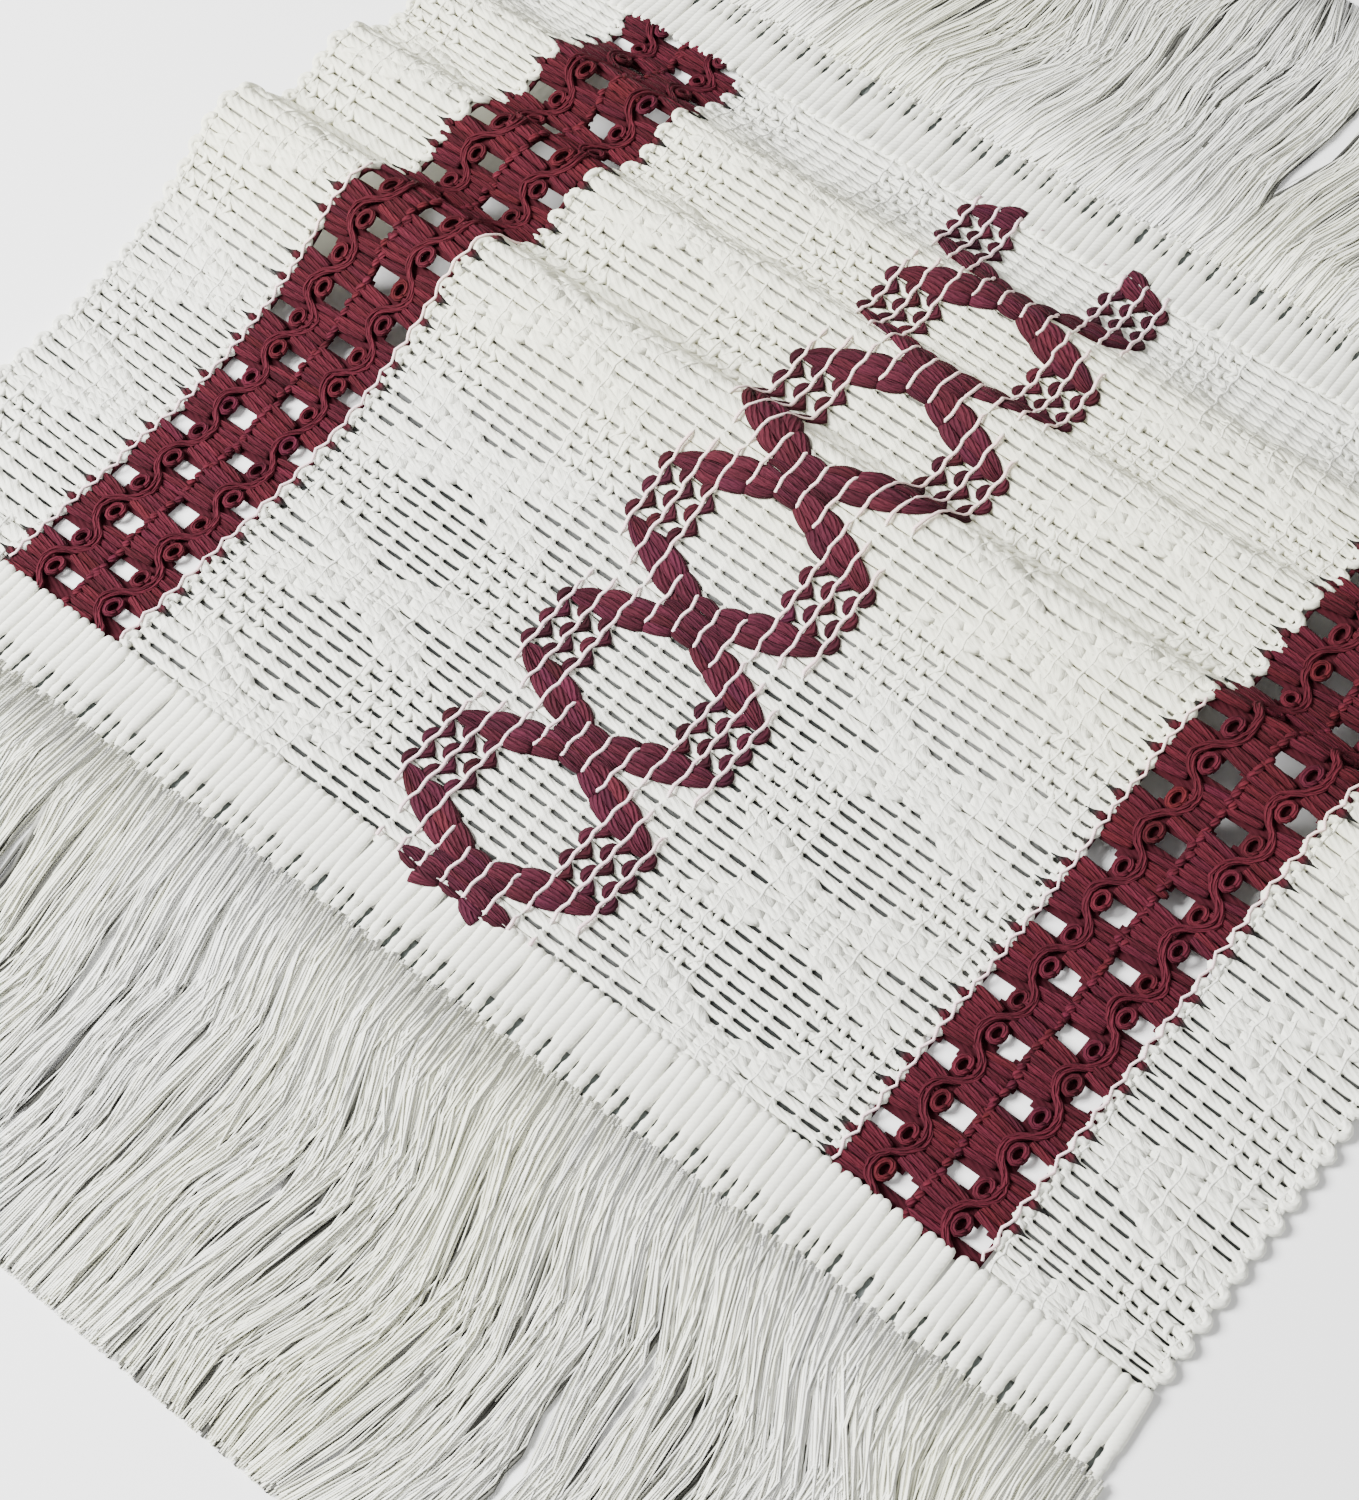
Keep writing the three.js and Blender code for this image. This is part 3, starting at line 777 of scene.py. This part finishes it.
def band_net(name, left, blocks):
    """Grid cells outside every opening, which is an oval: (across / 3.1)^4 + (along / 2.6)^4 = 1."""
    first, second, period = blocks
    x = np.linspace(left + 0.5, left + BAND_WIDTH - 0.5, 37)
    s = np.linspace(0.3, LENGTH - 0.3, 181)
    xx, ss = np.meshgrid(x, s, indexing="ij")
    mid_x, mid_s = (xx[1:, 1:] + xx[:-1, :-1]) / 2, (ss[1:, 1:] + ss[:-1, :-1]) / 2
    solid = np.ones(mid_x.shape, bool)
    for across, row in [(x, second) for x in LEFT_HALVES] + [(x, first) for x in RIGHT_HALVES]:
        off = (mid_s / ROW - row + period / 2) % period - period / 2
        solid &= ((mid_x - left - across) / HALF_ACROSS) ** 4 + (off * ROW / HALF_ALONG) ** 4 > 1
    index = np.arange(xx.size).reshape(xx.shape)
    quads = np.stack([index[:-1, :-1], index[1:, :-1], index[1:, 1:], index[:-1, 1:]], -1)[solid]
    used, numbers = np.unique(quads, return_inverse=True)
    flat = places(xx, ss, NET_HEIGHT).reshape(-1, 3)[used]
    quads = numbers.reshape(-1, 4)
    # The net's colour is painted shade: the band yarn painted darker.
    colour = np.broadcast_to(BURGUNDY_IN_SHADE, flat.shape)
    net = new_object(name, lay(flat), quads, flat[quads.reshape(-1)][:, :2], colour)
    thickness = net.modifiers.new("thickness", "SOLIDIFY")
    thickness.thickness = 0.0007
    thickness.offset = -1
    area = float(solid.sum() * (x[1] - x[0]) * (s[1] - s[0]) * 1e-6)
    print(f"{name}: {solid.sum()} cells, {area:.5f} square metres")
    return net, area


left_net, left_net_area = band_net("left_band_net", -BAND_OUTER, LEFT_BLOCKS)
right_net, right_net_area = band_net("right_band_net", CENTRE_HALF, RIGHT_BLOCKS)

# %% [markdown]
# ## Headings and fringes
# Beyond each end of the cloth a heading of rope-like cords, 2.6 mm apart, gathers the fringe. Each cord
# then opens into fine loose threads. Hair particles could grow such a fringe, but here every thread needs
# the same slow sweep as its neighbours, so the threads follow one shared flow and each adds a little of its
# own.

# %% Where a fringe is put
FRINGE = 120.0  # length from the cloth's edge to the tips
CORD_PITCH = 2.62
far_left, far_right = (lay(places(x, LENGTH, 0.0)) * 1000 for x in (-SELVEDGE, SELVEDGE))
FAR_TURN = np.arctan2(far_right[1] - far_left[1], 2 * SELVEDGE)
FAR_MIDDLE = lay(places(0.0, LENGTH, 0.0)) * 1000


def near_place(local):
    """Local (x, distance from the edge, height) to the room, towards -Y."""
    x, out, up = np.moveaxis(local, -1, 0)
    return places(MIDDLE - x, NEAR_EDGE - out, up) / 1000


def far_place(local):
    """The same towards +Y, turned with the slanting far edge."""
    x, out, up = np.moveaxis(local, -1, 0)
    cos, sin = np.cos(FAR_TURN), np.sin(FAR_TURN)
    return places(FAR_MIDDLE[0] + x * cos - out * sin, FAR_MIDDLE[1] + x * sin + out * cos, up) / 1000


# %% [markdown]
# The heading's cords start just over the cloth's edge and run on under the first threads. Two rows of
# stitches draw them in, which leaves short slits between them. A flat strip in painted shade lies under
# the slits and keeps the pale floor from showing through.

# %% Heading cords
HEADING_CORD = np.array([
    # distance from the cloth's edge, half width, height of its middle, half thickness
    (-1.7, 0.50, 1.75, 0.70), (-1.3, 1.15, 1.95, 0.80), (-0.3, 1.48, 2.00, 0.80), (1.5, 1.60, 1.65, 0.80),
    (5.0, 1.62, 1.40, 0.80), (9.0, 1.62, 1.35, 0.80), (12.0, 1.50, 1.33, 0.80), (13.4, 1.10, 1.30, 0.80),
    (14.8, 1.10, 1.28, 0.80), (15.9, 1.36, 1.25, 0.80), (17.2, 1.10, 1.20, 0.80), (18.6, 1.18, 1.15, 0.78),
    (21.0, 1.15, 0.95, 0.65), (24.0, 0.60, 0.60, 0.30),
])
SLITS_OUT = 15.8  # middle of the two slits


def heading(name, place):
    """Cords that sway by 0.3 sin(0.9 x + out / 5) and a little of their own, and a strip of painted shade
    below.
    """
    x = np.arange(-SELVEDGE + CORD_PITCH / 2, SELVEDGE, CORD_PITCH)[:, None]
    out, wide, high, thick = HEADING_CORD.T
    own = rng.standard_normal((len(x), 3))
    sway = 0.3 * np.sin(x * 0.9 + out / 5) + 0.25 * own[:, :1] * np.sin(out / 7 + own[:, 1:2] * 3)
    path = places(x + sway, out, high)
    wide = wide * (1 + 0.05 * own[:, 2:])
    cords = tube_parts(path, wide, thick, dyed(CREAM, len(x), 0.02), sides=8, place=place)
    # The flat strip under the slits is painted shade.
    line = np.linspace(-SELVEDGE + 1.5, SELVEDGE - 1.5, 30)
    under = places(line, SLITS_OUT, 0.3)[None]
    return join(name, [cords, tube_parts(under, 2.9, 0.2, 8 * SHADE[None], sides=8, place=place)])


near_heading = heading("near_heading", near_place)
far_heading = heading("far_heading", far_place)


# %% [markdown]
# Loose threads hang together in locks, so a fringe has two layers. The upper threads gather towards the
# middle of their lock, and the lock's rims lie lower and are painted darker, painted shade between the
# locks. The lower threads are spread evenly and fill the gaps. They start in cream, where they come out
# of the heading, and further on they are painted dark, as painted shade under the upper layer.

# %% Loose threads
THREAD_POINTS = 7
LOCK = 4.7  # width of a lock
MIDDLE_LOCK, LOCKS = 60, 160  # number of the lock in the middle, and how many have a sway of their own


def flow(x, out, seed):
    """Sideways sweep of the fringe: a broad S down its length, stronger and weaker across the width."""
    strength = 11 + 4.5 * np.sin(x * 0.017 + seed) + 2.5 * np.sin(x * 0.045 + 2 * seed)
    sweep = smooth(out, 24, 64) - 0.3 * smooth(out, 78, 120)
    ripple = 1.8 * np.sin(out * 0.09 + x * 0.05 + seed) + 1.0 * np.sin(out * 0.17 - x * 0.11 + seed)
    return strength * sweep + ripple * smooth(out, 18, 45)


def threads(count, place, seed, shade, level, thick, side, start=18.0, ordered=False):
    """Thin three-sided tubes: root, drawn to its cord and then to its lock, + flow + shared and own sways.

    A sway is size * amount * sin(pace * out + lag * amount). Level is the lowest and the greatest height of
    the threads, and an ordered layer is the lower one, without locks, which turns from cream into painted
    shade.
    """
    draw = np.random.default_rng(seed)
    loose = 0 if ordered else 1
    x0 = np.linspace(-SELVEDGE + 0.8, SELVEDGE - 0.8, count)
    x0 = x0 + draw.uniform(-1, 1, count) * 3 * loose
    t = np.linspace(0, 1, THREAD_POINTS) + np.zeros((count, 1))
    t[:, 1:-1] += draw.uniform(-0.07, 0.07, (count, THREAD_POINTS - 2))
    reach = FRINGE - 1.2 + draw.standard_normal(count).clip(-2, 1)
    root = start + draw.uniform(0, 3, (count, 1)) * (4 if ordered else 1)
    out = root + (reach[:, None] - root) * t
    lock = np.floor(x0 / LOCK + 0.25 * draw.standard_normal(count)).astype(int)
    shared = np.random.default_rng(seed + 1).standard_normal((LOCKS, 5))[lock + MIDDLE_LOCK]
    own = draw.standard_normal((count, 4))
    middle = (lock + 0.5) * LOCK
    cord = (np.floor((x0 + SELVEDGE) / CORD_PITCH) + 0.5) * CORD_PITCH - SELVEDGE
    gather = loose * np.clip(0.18 + 0.30 * np.abs(shared[:, 2:3]), 0, 0.66)
    gather = gather * smooth(out, 24, 52) * (1 - 0.55 * smooth(out, 80, 120))
    base = x0[:, None] + (middle - x0)[:, None] * gather
    base = base + 0.25 * loose * (cord - x0)[:, None] * (1 - smooth(out, 19, 42))
    sways = ((1.3, 0.045, 2, shared[:, :2]), (0.9, 0.10, 2, shared[:, 2:4]),
             (0.75, 0.05, 3, own[:, :2]), (0.4, 0.12, 3, own[:, 2:]))
    sway = sum(size * by[:, :1] * np.sin(out * pace + lag * by[:, 1:]) for size, pace, lag, by in sways)
    x = base + side * flow(base, out, seed) + sway * smooth(out, 18, 60)
    x = np.clip(x, -SELVEDGE - 2, SELVEDGE + 2)

    # Painted shade: a lock's rims lie lower and are darkened.
    rim = loose * np.clip(np.abs(x0 - middle) / (LOCK / 2), 0, 1)[:, None]
    lift = level[0] + (level[1] - level[0]) * draw.random((count, 1)) * (1 + 0.15 * shared[:, 4:])
    lift = lift * (1 - 0.35 * rim ** 2)
    shade = shade * (1 - 0.20 * rim ** 3) * (1 + 0.03 * loose * shared[:, 4:])
    h = (lift + 0.3 * np.sin(out * 0.07 + 3 * own[:, 1:2])) * (1 - 0.35 * t)
    if ordered:
        h = h + 0.3 * (1 - smooth(out, 20, 46))
        # The lower layer fades from cream at its roots into its painted shade.
        fade = smooth(out, 22, 50)[..., None]
        shade = shade[:, None] * fade + 1.06 * CREAM * (1 - fade)
    else:
        h = h + (1.55 + 0.25 * own[:, 3:] - h) * (1 - smooth(out, 17, 44))
    h = np.maximum(h, thick + 0.02)
    wide = thick * (1 - 0.25 * t) * (1 + 0.35 * (1 - smooth(out, 20, 44)))
    return tube_parts(places(x, out, h), wide, wide, shade, sides=3, turn=np.pi / 6, place=place)


# %% Both layers of a fringe
WARM = np.array([0.93, 0.935, 0.79])
COOL = np.array([0.935, 0.94, 0.92])
# Painted shade of the lower threads, which lie under the upper ones.
UNDER_PAINTED_SHADE = np.array([0.075, 0.075, 0.068])
LOWER, UPPER = 500, 4000  # threads in each layer


def fringe(name, place, seed, side):
    """A lower layer in painted shade, and upper threads that change in broad waves from warm to cool cream.
    """
    draw = np.random.default_rng(seed + 100)
    across = np.linspace(-SELVEDGE, SELVEDGE, UPPER)[:, None]
    broad = 0.5 + 0.3 * np.sin(across * 0.043 + seed) + 0.2 * np.sin(across * 0.11 + 2 * seed)
    mix = np.clip(broad + 0.25 * draw.standard_normal((UPPER, 1)), 0, 1)
    cream = (WARM * mix + COOL * (1 - mix)) * (1 - 0.14 * draw.random((UPPER, 1)) ** 2)
    dark = UNDER_PAINTED_SHADE * (1 + 0.4 * draw.standard_normal((LOWER, 1)))
    return join(name, [
        threads(LOWER, place, seed, np.clip(dark, 0.02, 0.5), (0.5, 0.8), 0.6, side, 19.0, True),
        threads(UPPER, place, seed, np.clip(cream, 0.02, 0.95), (0.8, 2.5), 0.26, side),
    ])


near_threads = fringe("near_threads", near_place, 3, -1)
far_threads = fringe("far_threads", far_place, 5, 1)

# %% [markdown]
# ## Finishes
# Every yarn is spun from short fibres, so its surface has fine streaks that run along it and wind round it.
# The material reads the yarn's UV map for them and the vertex colours for the dye, which on some pieces
# is painted shade instead. A small class wraps a socket, so that the maths of a pattern reads like
# ordinary arithmetic.


# %% Shader arithmetic
class Sock:
    """A shader socket that can be added, subtracted, multiplied and divided."""

    def __init__(self, tree, socket):
        self.tree, self.socket = tree, socket

    def node(self, kind, settings=None, **inputs):
        """A new node of a kind, its settings first and then the values or links of its sockets."""
        return new_node(self.tree, kind, settings, **inputs)

    def output(self, number):
        """Another output of the node that this socket belongs to."""
        return Sock(self.tree, self.socket.node.outputs[number])

    def maths(self, operation, a, b):
        """A Math node on two values or sockets."""
        return self.node("ShaderNodeMath", {"operation": operation}, i0=a, i1=b)

    def __add__(self, other): return self.maths("ADD", self, other)
    def __radd__(self, other): return self.maths("ADD", other, self)
    def __sub__(self, other): return self.maths("SUBTRACT", self, other)
    def __rsub__(self, other): return self.maths("SUBTRACT", other, self)
    def __mul__(self, other): return self.maths("MULTIPLY", self, other)
    def __rmul__(self, other): return self.maths("MULTIPLY", other, self)
    def __truediv__(self, other): return self.maths("DIVIDE", self, other)


def new_node(tree, kind, settings=None, out=0, **inputs):
    """Adds a node. Inputs are named as on the node, with _ for a space, or i0, i1 for a socket's number."""
    made = tree.nodes.new(kind)
    for key, value in (settings or {}).items():
        setattr(made, key, value)
    for key, value in inputs.items():
        numbered = key[0] == "i" and key[1:].isdigit()
        target = made.inputs[int(key[1:]) if numbered else key.replace("_", " ")]
        if isinstance(value, Sock):
            tree.links.new(value.socket, target)
        else:
            target.default_value = value
    return Sock(tree, made.outputs[out])


# %% [markdown]
# One recipe serves all the yarns: wave lines across the twist give the plies, stretched noise gives the
# fibres, and a broad soft noise over the whole cloth makes some places warmer. A tint by height adds a
# painted warm shade on the raised folds. Low fibres and the grooves between plies are darker, partly
# uneven colour and partly painted shade.

# %% The yarn finish
COOL_TINT, WARM_TINT = (1.0, 1.0, 1.0, 1), (1.0, 0.985, 0.87, 1)
# Painted warm shade: between these heights the raised folds are tinted warmer.
WARM_FROM, WARM_TO = 0.003, 0.014  # metres of height between which the folds turn warmer


def yarn_finish(name, ply, slant, depth, rough, patches_and_groove_shade):
    """Base colour = dye * tone * tint, and bump = 0.35 plies + fibres, on the yarn's UV map in millimetres.

    The plies are sin(2 pi (slant u + v) / ply). Low fibres and plies darken the tone by the patchiness,
    partly uneven colour and partly painted shade in the yarn's recesses. The tint adds a painted warm shade
    on the raised folds.
    """
    material = bpy.data.materials.new(name)
    material.use_nodes = True
    tree = material.node_tree
    shader = tree.nodes["Principled BSDF"]
    dye_and_shade = new_node(tree, "ShaderNodeAttribute", {"attribute_name": "dye_and_shade"})
    uv = new_node(tree, "ShaderNodeUVMap", {"uv_map": "yarn"})
    u = uv.node("ShaderNodeSeparateXYZ", Vector=uv)
    v = u.output(1)
    round_it = u * slant + v
    plies = uv.node("ShaderNodeMath", {"operation": "SINE"}, i0=round_it * (6.2832 / ply))
    stretched = uv.node("ShaderNodeCombineXYZ", X=round_it * 5.0, Y=(u - v * slant) * 0.55, Z=0.0)
    fibres = uv.node("ShaderNodeTexNoise", Vector=stretched, Scale=1.0, Detail=3.0)
    bump = uv.node("ShaderNodeBump", Strength=depth, Distance=0.0005, Height=plies * 0.35 + fibres)
    place = new_node(tree, "ShaderNodeTexCoord", out=3)
    broad = uv.node("ShaderNodeTexNoise", Vector=place, Scale=16.0, Detail=2.0)
    up = uv.node("ShaderNodeSeparateXYZ", Vector=place).output(2)
    # Painted warm shade by height on the raised folds.
    raised = uv.node("ShaderNodeMapRange", {"interpolation_type": "SMOOTHSTEP"},
                     i0=up, i1=WARM_FROM, i2=WARM_TO, i3=0.0, i4=0.75)
    # Partly uneven colour, partly painted shade: low fibres and the grooves between plies are darker.
    tone = 1.0 - (0.5 - fibres) * (patches_and_groove_shade * 1.6) - (0.5 - plies * 0.5) * (patches_and_groove_shade * 0.25)
    tint = uv.node("ShaderNodeMix", {"data_type": "RGBA"}, out=2,
                   i0=broad * 0.4 + raised, i6=COOL_TINT, i7=WARM_TINT)
    toned = uv.node("ShaderNodeVectorMath", {"operation": "SCALE"}, i0=dye_and_shade, Scale=tone)
    tinted = uv.node("ShaderNodeVectorMath", {"operation": "MULTIPLY"}, i0=toned, i1=tint)
    tree.links.new(tinted.socket, shader.inputs["Base Color"])
    tree.links.new(bump.socket, shader.inputs["Normal"])
    shader.inputs["Roughness"].default_value = rough
    shader.inputs["Specular IOR Level"].default_value = 0.12
    return material


# The patchiness also paints shade into the low fibres and the grooves between plies.
FINISHES = {  # millimetres from ply to ply, slant of the twist, bump, roughness, patchiness of the dye
    "cream weft yarn": (1.5, 0.5, 0.50, 0.90, 0.12),
    "pale pillar thread": (0.5, 0.9, 0.35, 0.85, 0.10),
    "burgundy yarn": (0.7, 0.16, 0.95, 0.85, 0.85),
    "heading cord": (1.6, 1.1, 0.40, 0.90, 0.12),
    "fringe thread": (0.5, 0.8, 0.30, 0.80, 0.12),
    "flat knit backing": (1.2, 0.4, 0.50, 0.95, 0.25),
}
finish = {name: yarn_finish(name, *values) for name, values in FINISHES.items()}
print("finishes:", ", ".join(finish))

# %% Dressing the pieces
WEARS = {
    "cream weft yarn": (centre_wefts, left_wefts, right_wefts, loops, cream_chains),
    "pale pillar thread": (pillars, tie_threads),
    "burgundy yarn": (ring_chain, left_band_yarns, right_band_yarns, wedge_yarns),
    "heading cord": (near_heading, far_heading),
    "fringe thread": (near_threads, far_threads),
    "flat knit backing": (centre_cloth, left_cloth, right_cloth, left_net, right_net),
}
for name, pieces in WEARS.items():
    for piece in pieces:
        piece.data.materials.append(finish[name])
        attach(piece, "root")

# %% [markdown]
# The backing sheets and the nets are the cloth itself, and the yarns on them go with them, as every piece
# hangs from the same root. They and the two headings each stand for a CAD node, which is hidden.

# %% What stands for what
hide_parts("centre_panel")
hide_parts("left_border")
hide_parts("right_border")
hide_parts("left_band")
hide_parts("right_band")
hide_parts("near_fringe")
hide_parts("far_fringe")

# %% [markdown]
# ## Floor, light and camera
# The runner lies on a plain pale floor. One large soft lamp in front and to the left gives the folds their
# shade, and a weak one opposite keeps the dark side readable. The camera stands over the right near corner
# and looks down and across the cloth, as a person beside it would.

# %% Floor
floor_mesh = bpy.data.meshes.new("floor")
floor_mesh.from_pydata([(-4, -4, 0), (4, -4, 0), (4, 4, 0), (-4, 4, 0)], [], [(0, 1, 2, 3)])  # metres
floor = bpy.data.objects.new("floor", floor_mesh)
bpy.context.scene.collection.objects.link(floor)
floor_paint = bpy.data.materials.new("pale floor")
floor_paint.use_nodes = True
floor_shader = floor_paint.node_tree.nodes["Principled BSDF"]
floor_shader.inputs["Base Color"].default_value = (0.92, 0.92, 0.92, 1)
floor_shader.inputs["Roughness"].default_value = 0.9
floor_mesh.materials.append(floor_paint)


# %% Lamps and world
def lamp(name, place, size, power):
    """A square area lamp, size in metres and power in watts, that looks at the middle of the runner."""
    data = bpy.data.lights.new(name, "AREA")
    data.size, data.energy = size, power
    made = bpy.data.objects.new(name, data)
    made.location = place
    made.rotation_euler = (-Vector(place)).to_track_quat("-Z", "Y").to_euler()
    bpy.context.scene.collection.objects.link(made)


lamp("window", (-0.90, -0.78, 1.00), 0.7, 110)
lamp("fill", (1.2, 0.8, 1.4), 1.4, 8)
world = bpy.data.worlds.new("studio")
world.use_nodes = True
background = world.node_tree.nodes["Background"]
background.inputs["Color"].default_value = (1.0, 1.0, 1.0, 1)
background.inputs["Strength"].default_value = 0.5
bpy.context.scene.world = world

# %% Camera
SENSOR = 36  # millimetres, its height
FOCAL_PIXELS, IMAGE_HEIGHT = 2700, 1500
EYE = np.array([210.2 + MIDDLE, -185.0 + NEAR_EDGE, 515.8]) / 1000
LOOK = np.array([-0.3224, 0.4057, -0.8553])
camera_data = bpy.data.cameras.new("camera")
camera_data.sensor_fit = "VERTICAL"
camera_data.sensor_height = SENSOR
camera_data.lens = FOCAL_PIXELS / IMAGE_HEIGHT * SENSOR
camera_data.clip_start = 0.01
camera = bpy.data.objects.new("camera", camera_data)
camera.location = EYE
camera.rotation_euler = Vector(LOOK).to_track_quat("-Z", "Y").to_euler()
bpy.context.scene.collection.objects.link(camera)
bpy.context.scene.camera = camera
print("camera at", EYE.round(3))
